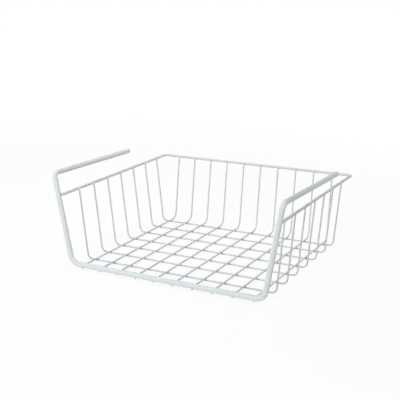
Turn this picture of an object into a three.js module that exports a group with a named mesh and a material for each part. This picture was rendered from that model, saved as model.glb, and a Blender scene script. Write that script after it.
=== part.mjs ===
// Under shelf basket: coated steel wire, bent and welded, hung on a shelf board by two arms.
// Millimetres, +Z up, the open front towards -Y. The origin lies under the middle of the
// basket, on the surface that its floor wires would stand on.
import * as THREE from "three";

// Wire diameters, coating included
const meshWire = 2;
const rimWire = 3.5;
const frameWire = 6.4;

// Floor grid: long wires run front to back, cross wires run side to side below them
const longCount = 10;
const longSpacing = 25.4;
const crossCount = 7;
const crossSpacing = 30.2;
const sideMargin = 13.2;
const frontMargin = 32.9;
const backMargin = 12.6;

// Walls: height of the rim's middle, how far each wall leans out on its way up to it, and how
// far below the rim's top the wires of each wall end
const rimLevel = 89.6;
const sideFlare = 8.9;
const backFlare = 13.4;
const crossTopDrop = 1.4;
const longTopDrop = 0.6;

// Front frame: bar, posts and arms bent from one rod; the posts stand off the rim's sides
const postOffset = 3.7;
const shelfGap = 21.2;
const armLength = 161;
const armDrop = 4.7;

// Bend radii, to the middle of the wire
const crossBend = 7;
const longBend = 10;
const stepBend = 4;
const rimBend = 5;
const footBend = 12;
const armBend = 6;

// The step by which each long wire dips under the front bar, and its end behind the bar's middle
const stepRun = 10;
const stepClearance = 1.5;
const endSetback = 0.2;

// Room left at a weld between wires that don't meet flat to flat
const weldGap = 0.1;

// Facets of each wire and of each bend
const meshSides = 8;
const rimSides = 12;
const frameSides = 16;
const wireBendSteps = 6;
const stepBendSteps = 2;
const rodBendSteps = 8;

// Coating
const coatingColour = 0xf3f4f5;
const coatingRoughness = 0.38;
const coatingMetalness = 0;

// Distances worked out from the sizes above
const meshRadius = meshWire / 2;
const rimRadius = rimWire / 2;
const frameRadius = frameWire / 2;
const rimReach = reachOf(rimRadius, rimSides);
const frameReach = reachOf(frameRadius, frameSides);

const crossLevel = meshRadius;
const longLevel = crossLevel + meshWire;
const floorHalf = ((longCount - 1) * longSpacing) / 2 + sideMargin;
const sideLean = Math.atan2(sideFlare, rimLevel - crossLevel);
const backLean = Math.atan2(backFlare, rimLevel - longLevel);

const weldReach = meshRadius + weldGap + rimReach;
const rimHalf = floorHalf + sideFlare + weldReach / Math.cos(sideLean);
const floorDepth = (crossCount - 1) * crossSpacing;
const backReach = backMargin + backFlare + weldReach / Math.cos(backLean);
const depth = frameRadius + frontMargin + floorDepth + backReach + rimRadius;

const barY = frameRadius - depth / 2;
const firstCrossY = barY + frontMargin;
const floorBackY = firstCrossY + floorDepth + backMargin;
const rimBackY = depth / 2 - rimRadius;
const crossTop = rimLevel + rimRadius - crossTopDrop;
const longTop = rimLevel + rimRadius - longTopDrop;

const barLevel = meshWire + frameRadius;
const postRise = (rimHalf + postOffset - floorHalf) / (rimLevel - barLevel);
const postReach = frameReach * Math.hypot(1, postRise);
const armLevel = rimLevel + rimRadius + shelfGap + frameRadius;
const armHalf = floorHalf + postRise * (armLevel - barLevel);
const rimSetback = Math.sqrt(postReach ** 2 - (postOffset - rimReach) ** 2) + weldGap;

const acrossX = new THREE.Vector3(1, 0, 0);
const acrossY = new THREE.Vector3(0, 1, 0);
const upwards = new THREE.Vector3(0, 0, 1);

// How far the corners of a many-sided wire stand from its middle, with its flats at the radius
function reachOf(radius, sides) {
  return radius / Math.cos(Math.PI / sides);
}

function point(x, y, z) {
  return new THREE.Vector3(x, y, z);
}

function directions(points) {
  return points.slice(1).map((end, i) => end.clone().sub(points[i]).normalize());
}

// Stations round one bend: a middle, a heading and the way that the section's flat side faces
function bendStations(corner, before, after, radius, facingBefore, facingAfter, steps) {
  const turn = before.angleTo(after);
  const inward = after.clone().addScaledVector(before, -after.dot(before)).normalize();
  const start = corner.clone().addScaledVector(before, -radius * Math.tan(turn / 2));
  const centre = start.clone().addScaledVector(inward, radius);
  const stations = [];
  for (let i = 0; i <= steps; i += 1) {
    const share = i / steps;
    const angle = share * turn;
    const heading = before.clone().multiplyScalar(Math.cos(angle));
    heading.addScaledVector(inward, Math.sin(angle));
    const middle = centre.clone().addScaledVector(inward, -radius * Math.cos(angle));
    middle.addScaledVector(before, radius * Math.sin(angle));
    stations.push({ middle, heading, facing: facingBefore.clone().lerp(facingAfter, share) });
  }
  return stations;
}

// Stations along a wire with straight runs between its corners; bends lists a radius and a
// number of steps for each inner corner, facings the flat side of each run
function wireStations(points, bends, facings) {
  const runs = directions(points);
  const last = runs.length - 1;
  const stations = [{ middle: points[0], heading: runs[0], facing: facings[0] }];
  bends.forEach(({ radius, steps }, i) => {
    const corner = points[i + 1];
    const facing = [facings[i], facings[i + 1]];
    stations.push(...bendStations(corner, runs[i], runs[i + 1], radius, ...facing, steps));
  });
  stations.push({ middle: points[last + 1], heading: runs[last], facing: facings[last] });
  return stations;
}

// One ring of corners round a station, with a flat side on each of its four quarters
function ringAt({ middle, heading, facing }, radius, sides) {
  const up = facing.clone().addScaledVector(heading, -facing.dot(heading)).normalize();
  const side = up.clone().cross(heading);
  const reach = reachOf(radius, sides);
  const ring = [];
  for (let i = 0; i < sides; i += 1) {
    const angle = ((i + 1 / 2) / sides) * 2 * Math.PI;
    const corner = middle.clone().addScaledVector(side, reach * Math.cos(angle));
    ring.push(corner.addScaledVector(up, reach * Math.sin(angle)));
  }
  return ring;
}

// A closed wire: rings joined by strips, with a flat cut at both ends
function wireGeometry(stations, radius, sides) {
  const corners = stations.flatMap((station) => ringAt(station, radius, sides));
  const faces = [];
  const lastRing = (stations.length - 1) * sides;
  for (let ring = 0; ring < lastRing; ring += sides) {
    for (let i = 0; i < sides; i += 1) {
      const next = (i + 1) % sides;
      faces.push(ring + i, ring + next, ring + sides + next);
      faces.push(ring + i, ring + sides + next, ring + sides + i);
    }
  }
  for (let i = 1; i < sides - 1; i += 1) {
    faces.push(0, i + 1, i);
    faces.push(lastRing, lastRing + i, lastRing + i + 1);
  }
  const geometry = new THREE.BufferGeometry().setFromPoints(corners);
  geometry.setIndex(faces);
  geometry.computeVertexNormals();
  return geometry;
}

function coating() {
  return new THREE.MeshStandardMaterial({
    color: coatingColour,
    roughness: coatingRoughness,
    metalness: coatingMetalness,
  });
}

function piece(name, geometry) {
  const mesh = new THREE.Mesh(geometry, coating());
  mesh.name = name;
  return mesh;
}

function repeated(count, item) {
  return Array.from({ length: count }, item);
}

// A U-shaped wire: left wall, floor, right wall, its tops on the inner side of the rim
function crossWireGeometry() {
  const topHalf = floorHalf + Math.tan(sideLean) * (crossTop - crossLevel);
  const points = [
    point(-topHalf, 0, crossTop),
    point(-floorHalf, 0, crossLevel),
    point(floorHalf, 0, crossLevel),
    point(topHalf, 0, crossTop),
  ];
  const bends = repeated(2, () => ({ radius: crossBend, steps: wireBendSteps }));
  const facings = repeated(3, () => acrossY);
  return wireGeometry(wireStations(points, bends, facings), meshRadius, meshSides);
}

// An L-shaped wire: under the front bar, a step up, over the cross wires and up the back wall
function longWireGeometry() {
  const topY = floorBackY + Math.tan(backLean) * (longTop - longLevel);
  const stepFoot = barY + frameRadius + stepClearance;
  const points = [
    point(0, barY + endSetback, crossLevel),
    point(0, stepFoot, crossLevel),
    point(0, stepFoot + stepRun, longLevel),
    point(0, floorBackY, longLevel),
    point(0, topY, longTop),
  ];
  const step = { radius: stepBend, steps: stepBendSteps };
  const bends = [step, step, { radius: longBend, steps: wireBendSteps }];
  const facings = repeated(4, () => acrossX);
  return wireGeometry(wireStations(points, bends, facings), meshRadius, meshSides);
}

// The rim: back from the left post, across the back wall and forward to the right post
function rimGeometry() {
  const frontY = barY + rimSetback;
  const points = [
    point(-rimHalf, frontY, rimLevel),
    point(-rimHalf, rimBackY, rimLevel),
    point(rimHalf, rimBackY, rimLevel),
    point(rimHalf, frontY, rimLevel),
  ];
  const bends = repeated(2, () => ({ radius: rimBend, steps: rodBendSteps }));
  const facings = repeated(3, () => upwards);
  return wireGeometry(wireStations(points, bends, facings), rimRadius, rimSides);
}

// The rod at the front: left arm, left post, bar, right post, right arm
function frameGeometry() {
  const armEnd = barY + armLength;
  const armEndLevel = armLevel - armDrop;
  const points = [
    point(-armHalf, armEnd, armEndLevel),
    point(-armHalf, barY, armLevel),
    point(-floorHalf, barY, barLevel),
    point(floorHalf, barY, barLevel),
    point(armHalf, barY, armLevel),
    point(armHalf, armEnd, armEndLevel),
  ];
  const shoulder = { radius: armBend, steps: rodBendSteps };
  const foot = { radius: footBend, steps: rodBendSteps };
  const underArm = point(0, -armDrop, -armLength).normalize();
  const facings = [underArm, acrossY, acrossY, acrossY, underArm];
  const stations = wireStations(points, [shoulder, foot, foot, shoulder], facings);
  return wireGeometry(stations, frameRadius, frameSides);
}

function crossWires() {
  const geometry = crossWireGeometry();
  return repeated(crossCount, (_, i) => {
    const wire = piece(`cross_wire_${i + 1}`, geometry);
    wire.position.y = firstCrossY + i * crossSpacing;
    return wire;
  });
}

function longWires() {
  const geometry = longWireGeometry();
  const firstX = (-(longCount - 1) * longSpacing) / 2;
  return repeated(longCount, (_, i) => {
    const wire = piece(`long_wire_${i + 1}`, geometry);
    wire.position.x = firstX + i * longSpacing;
    return wire;
  });
}

const basket = new THREE.Group();
basket.add(piece("front_frame", frameGeometry()));
basket.add(piece("rim_wire", rimGeometry()));
basket.add(...crossWires());
basket.add(...longWires());

export default basket;
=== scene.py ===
import math
import random

import bmesh
import bpy
from mathutils import Matrix, Vector


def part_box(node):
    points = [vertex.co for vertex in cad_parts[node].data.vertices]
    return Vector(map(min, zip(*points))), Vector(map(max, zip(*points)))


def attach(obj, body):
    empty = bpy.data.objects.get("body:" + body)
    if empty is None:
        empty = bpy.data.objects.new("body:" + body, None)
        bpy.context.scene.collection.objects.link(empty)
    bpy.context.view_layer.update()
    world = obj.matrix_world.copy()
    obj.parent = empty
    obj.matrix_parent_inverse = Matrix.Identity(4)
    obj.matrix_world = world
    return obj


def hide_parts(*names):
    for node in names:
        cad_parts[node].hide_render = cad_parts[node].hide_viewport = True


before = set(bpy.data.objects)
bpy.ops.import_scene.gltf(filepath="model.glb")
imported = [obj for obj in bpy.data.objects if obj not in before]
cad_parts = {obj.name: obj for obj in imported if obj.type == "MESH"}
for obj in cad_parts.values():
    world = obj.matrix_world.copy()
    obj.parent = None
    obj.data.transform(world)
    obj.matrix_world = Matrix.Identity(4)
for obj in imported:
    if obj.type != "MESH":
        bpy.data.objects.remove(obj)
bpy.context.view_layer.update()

mm = 0.001
print("frame loaded,", len(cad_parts), "wires")

# sizes shared by the wires, in millimetres, as the CAD part has them
basket = {
    "longCount": 10,
    "longSpacing": 25.4,
    "crossCount": 7,
    "sideMargin": 13.2,
    "frontMargin": 32.9,
    "backMargin": 12.6,
    "rimLevel": 89.6,
    "sideFlare": 8.9,
    "backFlare": 13.4,
    "crossTopDrop": 1.4,
    "longTopDrop": 0.6,
    "meshRadius": 1.0,
    "rimRadius": 1.75,
    "frameRadius": 3.2,
}


def spot(x, y, z):
    return Vector((x, y, z)) * mm


def boxMiddle(node):
    low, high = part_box(node)
    return (low + high) / 2 / mm


def toLinear(hexColour):
    parts = [int(hexColour[i:i + 2], 16) / 255 for i in (1, 3, 5)]
    return [c / 12.92 if c <= 0.04045 else ((c + 0.055) / 1.055) ** 2.4 for c in parts] + [1.0]


def addNode(tree, kind, settings=None, links=None):
    node = tree.nodes.new(kind)
    for name, value in (settings or {}).items():
        if isinstance(name, int) or name in node.inputs:
            node.inputs[name].default_value = value
        else:
            setattr(node, name, value)
    for name, source in (links or {}).items():
        tree.links.new(source, node.inputs[name])
    return node


def newMaterial(name):
    material = bpy.data.materials.new(name)
    material.use_nodes = True
    material.node_tree.nodes.clear()
    return material, material.node_tree


# coatings
# polyester powder coat, sprayed dry and baked: a thin even skin with a faint orange peel,
# a little thicker and warmer where it pooled, with the odd nib of dust under it
coatLook = {
    "colour": "#e4eaed",
    "pooledColour": "#e2e7e8",
    "gritColour": "#dadddd",
    "metallic": 0,
    "ior": 1.5,
    "roughness": 0.5,
    "rougherThin": 0.05,
    "smootherPooled": 0.03,
    "chalk": 0.8,  # the pigment scatters light almost evenly
    "poolSize": 16,  # millimetres, as the other sizes here
    "poolDetail": 3,
    "poolColourRange": (0.35, 0.7),
    "poolGlossRange": (0.3, 0.7),
    "peelSize": 1.1,
    "peelDetail": 1.5,
    "peelStrength": 0.35,
    "peelDepth": 0.05,
    "gritSize": 0.5,
    "gritDetail": 2,
    "gritRange": (0.55, 0.8),
    "gritTint": 0.35,
    "nibSpacing": 5,
    "nibReach": 0.05,  # share of the spacing
    "nibHeight": 0.05,
    "nibStrength": 0.5,
    "nibTint": 0.3,
}
colourMix = {"share": 0, "under": 6, "over": 7, "result": 2}  # a Mix node's sockets for colours


def powderCoat(name, look):
    material, tree = newMaterial(name)
    place = addNode(tree, "ShaderNodeTexCoord").outputs["Object"]
    noise = {}
    for pattern in ("pool", "peel", "grit"):
        noise[pattern] = addNode(tree, "ShaderNodeTexNoise", {
            "Scale": 1 / (look[pattern + "Size"] * mm),
            "Detail": look[pattern + "Detail"],
        }, {"Vector": place}).outputs["Fac"]
    nibDistance = addNode(tree, "ShaderNodeTexVoronoi", {
        "Scale": 1 / (look["nibSpacing"] * mm),
    }, {"Vector": place}).outputs["Distance"]
    nib = addNode(tree, "ShaderNodeMapRange", {
        "From Max": look["nibReach"],
        "To Min": 1,
        "To Max": 0,
    }, {"Value": nibDistance}).outputs["Result"]

    tints = [
        (noise["pool"], look["poolColourRange"], 1, look["pooledColour"]),
        (noise["grit"], look["gritRange"], look["gritTint"], look["gritColour"]),
        (nib, (0, 1), look["nibTint"], look["gritColour"]),
    ]
    colour = None
    for source, (low, high), amount, tint in tints:
        share = addNode(tree, "ShaderNodeMapRange", {
            "From Min": low,
            "From Max": high,
            "To Max": amount,
        }, {"Value": source}).outputs["Result"]
        mix = addNode(tree, "ShaderNodeMix", {
            "data_type": "RGBA",
            colourMix["under"]: toLinear(look["colour"]),
            colourMix["over"]: toLinear(tint),
        }, {colourMix["share"]: share})
        if colour:
            tree.links.new(colour, mix.inputs[colourMix["under"]])
        colour = mix.outputs[colourMix["result"]]
    gloss = addNode(tree, "ShaderNodeMapRange", {
        "From Min": look["poolGlossRange"][0],
        "From Max": look["poolGlossRange"][1],
        "To Min": look["roughness"] + look["rougherThin"],
        "To Max": look["roughness"] - look["smootherPooled"],
    }, {"Value": noise["pool"]}).outputs["Result"]

    skin = addNode(tree, "ShaderNodeBump", {
        "Strength": look["peelStrength"],
        "Distance": look["peelDepth"] * mm,
    }, {"Height": noise["peel"]}).outputs["Normal"]
    skin = addNode(tree, "ShaderNodeBump", {
        "Strength": look["nibStrength"],
        "Distance": look["nibHeight"] * mm,
    }, {"Height": nib, "Normal": skin}).outputs["Normal"]
    shader = addNode(tree, "ShaderNodeBsdfPrincipled", {
        "IOR": look["ior"],
        "Metallic": look["metallic"],
        "Diffuse Roughness": look["chalk"],
    }, {"Base Color": colour, "Roughness": gloss, "Normal": skin})
    addNode(tree, "ShaderNodeOutputMaterial", links={"Surface": shader.outputs[0]})
    return material


# the peel gets finer as the wire gets thinner, and the coat is dullest over the welds. The rim,
# mesh and weld wires wear the same coat as the rod, but their copies are painted darker: painted
# shade for how dark the thin wires fall in this light
rodCoat = powderCoat("powderCoatOnSteelRod", coatLook)
# painted shade: a darker copy of the one coat, for the rim's shaded look
paintedShadeRimCoat = powderCoat("powderCoatOnRimWire", {
    **coatLook,
    "colour": "#dde1e2",
    "pooledColour": "#dbdedf",
    "peelSize": 0.9,
})
# painted shade: a darker copy of the one coat, for the mesh wires' shaded look
paintedShadeMeshCoat = powderCoat("powderCoatOnMeshWire", {
    **coatLook,
    "colour": "#dbdfe0",
    "pooledColour": "#d9dcdc",
    "peelSize": 0.7,
    "peelDepth": 0.03,
})
# painted shade: a darker copy of the one coat, for the shaded crevices round the welds
paintedShadeWeldCoat = powderCoat("powderCoatOverWelds", {
    **coatLook,
    "colour": "#dadedf",
    "pooledColour": "#d6d9d9",
    "roughness": 0.55,
    "peelSize": 0.5,
    "peelDepth": 0.06,
})
print("coatings done")


# bent wires
bending = {
    "degreesPerStep": 6,
    "endSegments": 4,
}


def ringParts(ring):
    return list({vert for edge in ring for vert in edge.verts}) + list(ring)


def pushRing(bm, ring, shift):
    made = bmesh.ops.extrude_edge_only(bm, edges=ring)["geom"]
    moved = [part for part in made if isinstance(part, bmesh.types.BMVert)]
    bmesh.ops.translate(bm, verts=moved, vec=shift)
    return [part for part in made if isinstance(part, bmesh.types.BMEdge)
            and all(vert in moved for vert in part.verts)]


# a drawn wire is one round section, pushed along each straight run and spun round each bend
def bentWire(corners, bends, wire):
    bm = bmesh.new()
    runs = [(after - before).normalized() for before, after in zip(corners, corners[1:])]
    facing = runs[0].to_track_quat("Z", "Y").to_matrix().to_4x4()
    bmesh.ops.create_circle(bm, segments=wire["sides"], radius=wire["radius"] * mm,
                            matrix=Matrix.Translation(corners[0]) @ facing)
    firstRing = bm.edges[:]
    ring = firstRing
    place = corners[0]
    for corner, before, after, bendRadius in zip(corners[1:], runs, runs[1:], bends):
        turn = before.angle(after)
        axis = before.cross(after).normalized()
        bendStart = corner - before * (bendRadius * mm * math.tan(turn / 2))
        pivot = bendStart + axis.cross(before) * (bendRadius * mm)
        ring = pushRing(bm, ring, bendStart - place)
        steps = round(turn / math.radians(bending["degreesPerStep"]))
        spun = bmesh.ops.spin(bm, geom=ringParts(ring), cent=pivot, axis=axis, dvec=(0, 0, 0),
                              angle=turn, steps=steps, use_merge=False, use_duplicate=False)
        ring = [part for part in spun["geom_last"] if isinstance(part, bmesh.types.BMEdge)]
        place = pivot + Matrix.Rotation(turn, 3, axis) @ (bendStart - pivot)
    lastRing = pushRing(bm, ring, corners[-1] - place)
    for ends in (firstRing, lastRing):
        bmesh.ops.edgeloop_fill(bm, edges=ends)
    bmesh.ops.recalc_face_normals(bm, faces=bm.faces[:])
    bmesh.ops.bevel(bm, geom=firstRing + lastRing, offset=wire["endRounding"] * mm,
                    offset_type="OFFSET", segments=bending["endSegments"], profile=0.5,
                    affect="EDGES", material=-1, clamp_overlap=True)
    return bm


def finishPiece(bm, name, material, replaced=None):
    mesh = bpy.data.meshes.new(name)
    bm.to_mesh(mesh)
    bm.free()
    mesh.polygons.foreach_set("use_smooth", [True] * len(mesh.polygons))
    mesh.materials.append(material)
    piece = bpy.data.objects.new(name, mesh)
    bpy.context.scene.collection.objects.link(piece)
    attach(piece, "root")
    if replaced:
        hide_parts(replaced)


# places that follow from the shared sizes and from the CAD wires, in millimetres
crossLevel = basket["meshRadius"]
longLevel = crossLevel + 2 * basket["meshRadius"]
barLevel = 2 * basket["meshRadius"] + basket["frameRadius"]
floorHalf = (basket["longCount"] - 1) * basket["longSpacing"] / 2 + basket["sideMargin"]
sideLean = math.atan2(basket["sideFlare"], basket["rimLevel"] - crossLevel)
backLean = math.atan2(basket["backFlare"], basket["rimLevel"] - longLevel)
rimTop = basket["rimLevel"] + basket["rimRadius"]
crossTop = rimTop - basket["crossTopDrop"]
longTop = rimTop - basket["longTopDrop"]
crossYs = [boxMiddle(f"cross_wire_{i + 1}").y for i in range(basket["crossCount"])]
longXs = [boxMiddle(f"long_wire_{i + 1}").x for i in range(basket["longCount"])]
barY = crossYs[0] - basket["frontMargin"]
floorBackY = crossYs[-1] + basket["backMargin"]
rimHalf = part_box("rim_wire")[1].x / mm - basket["rimRadius"]
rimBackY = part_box("rim_wire")[1].y / mm - basket["rimRadius"]
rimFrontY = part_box("rim_wire")[0].y / mm


# front frame
frontFrame = {
    "radius": 3.199,  # a hair under the CAD's rod, to stay inside its box
    "sides": 48,
    "endRounding": 0.9,
    "armLevel": 115.75,
    "armLength": 161,
    "armDrop": 4.7,
    "armBend": 6,
    "footBend": 12,
}
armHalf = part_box("front_frame")[1].x / mm - basket["frameRadius"]
armEndY = barY + frontFrame["armLength"]
armEndLevel = frontFrame["armLevel"] - frontFrame["armDrop"]
leftSide = [
    spot(-armHalf, armEndY, armEndLevel),
    spot(-armHalf, barY, frontFrame["armLevel"]),
    spot(-floorHalf, barY, barLevel),
]
rightSide = [Vector((-point.x, point.y, point.z)) for point in reversed(leftSide)]
frameBends = [frontFrame[name] for name in ("armBend", "footBend", "footBend", "armBend")]
rod = bentWire(leftSide + rightSide, frameBends, frontFrame)
finishPiece(rod, "coated_front_frame", rodCoat, "front_frame")
print("front frame done")


# rim wire
rimWire = {
    "radius": basket["rimRadius"],
    "sides": 32,
    "endRounding": 0.3,
    "bend": 5,
}
rimCorners = [
    spot(-rimHalf, rimFrontY, basket["rimLevel"]),
    spot(-rimHalf, rimBackY, basket["rimLevel"]),
    spot(rimHalf, rimBackY, basket["rimLevel"]),
    spot(rimHalf, rimFrontY, basket["rimLevel"]),
]
rim = bentWire(rimCorners, [rimWire["bend"]] * 2, rimWire)
finishPiece(rim, "coated_rim_wire", paintedShadeRimCoat, "rim_wire")
print("rim wire done")


# cross wires
crossWire = {
    "radius": basket["meshRadius"],
    "sides": 24,
    "endRounding": 0.42,
    "bend": 7,
}
topHalf = floorHalf + math.tan(sideLean) * (crossTop - crossLevel)
for number, y in enumerate(crossYs, 1):
    corners = [
        spot(-topHalf, y, crossTop),
        spot(-floorHalf, y, crossLevel),
        spot(floorHalf, y, crossLevel),
        spot(topHalf, y, crossTop),
    ]
    wire = bentWire(corners, [crossWire["bend"]] * 2, crossWire)
    finishPiece(wire, f"coated_cross_wire_{number}", paintedShadeMeshCoat, f"cross_wire_{number}")
print("cross wires done")


# long wires
longWire = {
    "radius": basket["meshRadius"],
    "sides": 24,
    "endRounding": 0.42,
    "bend": 10,
    "stepBend": 4,
    "stepRun": 10,
    "stepClearance": 1.5,
    "endSetback": 0.2,
}
topY = floorBackY + math.tan(backLean) * (longTop - longLevel)
stepFoot = barY + basket["frameRadius"] + longWire["stepClearance"]
longBends = [longWire[name] for name in ("stepBend", "stepBend", "bend")]
for number, x in enumerate(longXs, 1):
    corners = [
        spot(x, barY + longWire["endSetback"], crossLevel),
        spot(x, stepFoot, crossLevel),
        spot(x, stepFoot + longWire["stepRun"], longLevel),
        spot(x, floorBackY, longLevel),
        spot(x, topY, longTop),
    ]
    wire = bentWire(corners, longBends, longWire)
    finishPiece(wire, f"coated_long_wire_{number}", paintedShadeMeshCoat, f"long_wire_{number}")
print("long wires done")


# welds
# the coating bridges the crevice round each weld, so a small uneven lens fills it
welds = {
    "crossing": (1.2, 1.2, 0.4),  # half sizes: across, along and through the weld
    "bar": (1.4, 1.4, 0.4),
    "rim": (1.3, 1.2, 0.45),
    "post": (1.7, 0.8, 1.7),
    "barSetback": 0.9,
    "rimDrop": 0.5,
    "postOutset": 0.6,
    "postSink": 0.2,
    "segments": 8,
    "rings": 6,
    "unevenness": 0.07,
    "softening": 0.3,
    "seed": 11,
}
chance = random.Random(welds["seed"])
acrossX = Vector((1, 0, 0))
acrossY = Vector((0, 1, 0))


def addWeld(bm, place, size, across, along):
    normal = across.cross(along)
    turned = Matrix((across, along, normal)).transposed().to_4x4()
    shape = Matrix.Translation(place) @ turned @ Matrix.Diagonal((*[s * mm for s in size], 1))
    verts = bmesh.ops.create_uvsphere(bm, u_segments=welds["segments"], v_segments=welds["rings"],
                                      radius=1, matrix=shape)["verts"]
    for vert in verts:
        reach = 1 + chance.uniform(-1, 1) * welds["unevenness"]
        vert.co = place + (vert.co - place) * reach
    bmesh.ops.smooth_vert(bm, verts=verts, factor=welds["softening"],
                          use_axis_x=True, use_axis_y=True, use_axis_z=True)


floorWelds = bmesh.new()
touchLevel = 2 * basket["meshRadius"]  # where the long wires and the bar lie on what is below
barWeldY = barY + welds["barSetback"]
for x in longXs:
    for y in crossYs:
        addWeld(floorWelds, spot(x, y, touchLevel), welds["crossing"], acrossX, acrossY)
    addWeld(floorWelds, spot(x, barWeldY, touchLevel), welds["bar"], acrossX, acrossY)
finishPiece(floorWelds, "floor_weld_fillets", paintedShadeWeldCoat)

rimWelds = bmesh.new()
sideTouch = rimHalf - basket["rimRadius"] / math.cos(sideLean)
backTouch = rimBackY - basket["rimRadius"] / math.cos(backLean)
weldLevel = basket["rimLevel"] - welds["rimDrop"]
for y in crossYs:
    for side in (-1, 1):
        wireUp = Vector((side * math.sin(sideLean), 0, math.cos(sideLean)))
        addWeld(rimWelds, spot(side * sideTouch, y, weldLevel), welds["rim"], acrossY, wireUp)
for x in longXs:
    wireUp = Vector((0, math.sin(backLean), math.cos(backLean)))
    addWeld(rimWelds, spot(x, backTouch, weldLevel), welds["rim"], acrossX, wireUp)
postWeldX = rimHalf + welds["postOutset"]
postWeldY = rimFrontY - welds["postSink"]
for side in (-1, 1):
    place = spot(side * postWeldX, postWeldY, basket["rimLevel"])
    addWeld(rimWelds, place, welds["post"], acrossX, acrossY)
finishPiece(rimWelds, "rim_weld_fillets", paintedShadeWeldCoat)
print("welds done")


# studio, in metres except for the floor's level
# the paper glows a little less round the basket, where the lamps' own light makes up the rest
studio = {
    "floorSize": 24,
    "floorCells": 8,
    "floorLevel": -0.05,  # millimetres, just under the lowest wires
    "whiteNear": 0.855,
    "whiteFar": 1.0,
    "poolMiddle": (0, 0, 0),
    "poolRadius": 1.7,
    "shadeColour": "#737373",  # takes the lamps' light and the shadow
    "bounceColour": "#999999",  # the paper as it lights the matt coat from below
    "worldLight": 0.02,
    "fillOnly": ("backBox",),  # its glare would burn out the tops of the rods
    "lamps": {
        "frontBox": {
            "place": (-0.3, -2, 0.62),
            "aim": (0, 0, 0.05),
            "size": (1.6, 0.3),
            "power": 29.5,
        },
        "lowBox": {
            "place": (-0.2, -1.2, 0.14),
            "aim": (0, 0, 0.05),
            "size": (1.0, 0.25),
            "power": 1.8,
        },
        "rightBox": {
            "place": (2, 0.1, 0.5),
            "aim": (0, 0, 0.05),
            "size": (1.0, 1.0),
            "power": 16.5,
        },
        "backBox": {
            "place": (0.66, 1.82, 0.57),
            "aim": (0, 0, 0.05),
            "size": (1.4, 1.4),
            "power": 20.5,
        },
        "topBox": {
            "place": (-0.15, 0, 0.5),
            "aim": (-0.15, 0, 0),
            "size": (0.5, 0.6),
            "power": 1.35,
        },
    },
}
plainWhite = (1, 1, 1, 1)


# rays that show the white background: straight from the camera, in gloss or through glass
def seenRays(tree):
    path = addNode(tree, "ShaderNodeLightPath")
    seen = path.outputs["Is Camera Ray"]
    for ray in ("Is Glossy Ray", "Is Transmission Ray"):
        seen = addNode(tree, "ShaderNodeMath", {
            "operation": "MAXIMUM",
        }, {0: seen, 1: path.outputs[ray]}).outputs[0]
    return seen


def floorMaterial():
    material, tree = newMaterial("palePaperSweep")
    place = addNode(tree, "ShaderNodeTexCoord").outputs["Object"]
    reach = addNode(tree, "ShaderNodeVectorMath", {
        "operation": "DISTANCE",
        1: studio["poolMiddle"],
    }, {0: place}).outputs["Value"]
    strength = addNode(tree, "ShaderNodeMapRange", {
        "interpolation_type": "SMOOTHSTEP",
        "From Max": studio["poolRadius"],
        "To Min": studio["whiteNear"],
        "To Max": studio["whiteFar"],
    }, {"Value": reach}).outputs["Result"]
    glow = addNode(tree, "ShaderNodeEmission", {"Color": plainWhite}, {"Strength": strength})
    shade = addNode(tree, "ShaderNodeBsdfDiffuse", {"Color": toLinear(studio["shadeColour"])})
    bounce = addNode(tree, "ShaderNodeBsdfDiffuse", {"Color": toLinear(studio["bounceColour"])})
    paper = addNode(tree, "ShaderNodeAddShader", links={0: glow.outputs[0], 1: shade.outputs[0]})
    shown = addNode(tree, "ShaderNodeMixShader", links={
        0: seenRays(tree), 1: bounce.outputs[0], 2: paper.outputs[0],
    })
    below = addNode(tree, "ShaderNodeNewGeometry").outputs["Backfacing"]
    clear = addNode(tree, "ShaderNodeBsdfTransparent")
    oneSided = addNode(tree, "ShaderNodeMixShader", links={
        0: below, 1: shown.outputs[0], 2: clear.outputs[0],
    })
    addNode(tree, "ShaderNodeOutputMaterial", links={"Surface": oneSided.outputs[0]})
    return material


floorMesh = bmesh.new()
bmesh.ops.create_grid(floorMesh, x_segments=studio["floorCells"], y_segments=studio["floorCells"],
                      size=studio["floorSize"] / 2,
                      matrix=Matrix.Translation(spot(0, 0, studio["floorLevel"])))
floorData = bpy.data.meshes.new("studioFloor")
floorMesh.to_mesh(floorData)
floorMesh.free()
floorData.materials.append(floorMaterial())
floor = bpy.data.objects.new("studioFloor", floorData)
bpy.context.scene.collection.objects.link(floor)

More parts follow.
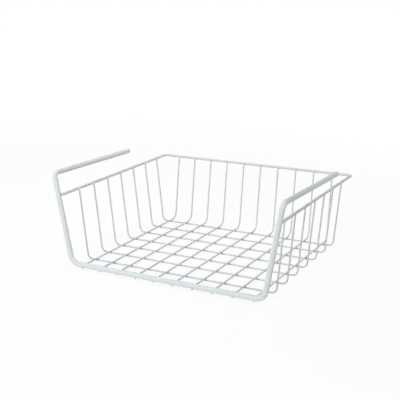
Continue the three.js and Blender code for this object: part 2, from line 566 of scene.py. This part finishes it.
world = bpy.data.worlds.new("studioWorld")
bpy.context.scene.world = world
world.use_nodes = True
sky = world.node_tree
sky.nodes.clear()
white = addNode(sky, "ShaderNodeBackground", {"Color": plainWhite, "Strength": 1})
soft = addNode(sky, "ShaderNodeBackground", {
    "Color": plainWhite,
    "Strength": studio["worldLight"],
})
backdrop = addNode(sky, "ShaderNodeMixShader", links={
    0: seenRays(sky), 1: soft.outputs[0], 2: white.outputs[0],
})
addNode(sky, "ShaderNodeOutputWorld", links={"Surface": backdrop.outputs[0]})

for name, lamp in studio["lamps"].items():
    data = bpy.data.lights.new(name, "AREA")
    data.shape = "RECTANGLE"
    data.size, data.size_y = lamp["size"]
    data.energy = lamp["power"]
    box = bpy.data.objects.new(name, data)
    box.location = lamp["place"]
    box.rotation_euler = (Vector(lamp["aim"]) - box.location).to_track_quat("-Z", "Y").to_euler()
    box.visible_glossy = name not in studio["fillOnly"]
    bpy.context.scene.collection.objects.link(box)
print("studio done")


# camera, in millimetres and degrees
view = {
    "azimuth": 28.785,
    "elevation": 15.790,
    "roll": -0.649,
    "distance": 1292.5,
    "target": (-128.905, 205.394, 2.0),
    "lens": 75.19,
    "sensor": 36,
    "nearest": 50,
    "furthest": 100000,
}
around = math.radians(view["azimuth"])
above = math.radians(view["elevation"])
roll = math.radians(view["roll"])
right = Vector((math.cos(around), math.sin(around), 0))
back = Vector((math.sin(around) * math.cos(above),
               -math.cos(around) * math.cos(above),
               math.sin(above)))
up = back.cross(right)
facing = Matrix((right, up, back)).transposed() @ Matrix.Rotation(roll, 3, "Z")
eye = Vector(view["target"]) * mm + back * view["distance"] * mm
camera = bpy.data.objects.new("photoCamera", bpy.data.cameras.new("photoCamera"))
camera.data.lens = view["lens"]
camera.data.sensor_width = view["sensor"]
camera.data.clip_start = view["nearest"] * mm
camera.data.clip_end = view["furthest"] * mm
camera.matrix_world = Matrix.Translation(eye) @ facing.to_4x4()
bpy.context.scene.collection.objects.link(camera)
bpy.context.scene.camera = camera
bpy.context.scene.view_settings.view_transform = "Standard"
print("camera done")
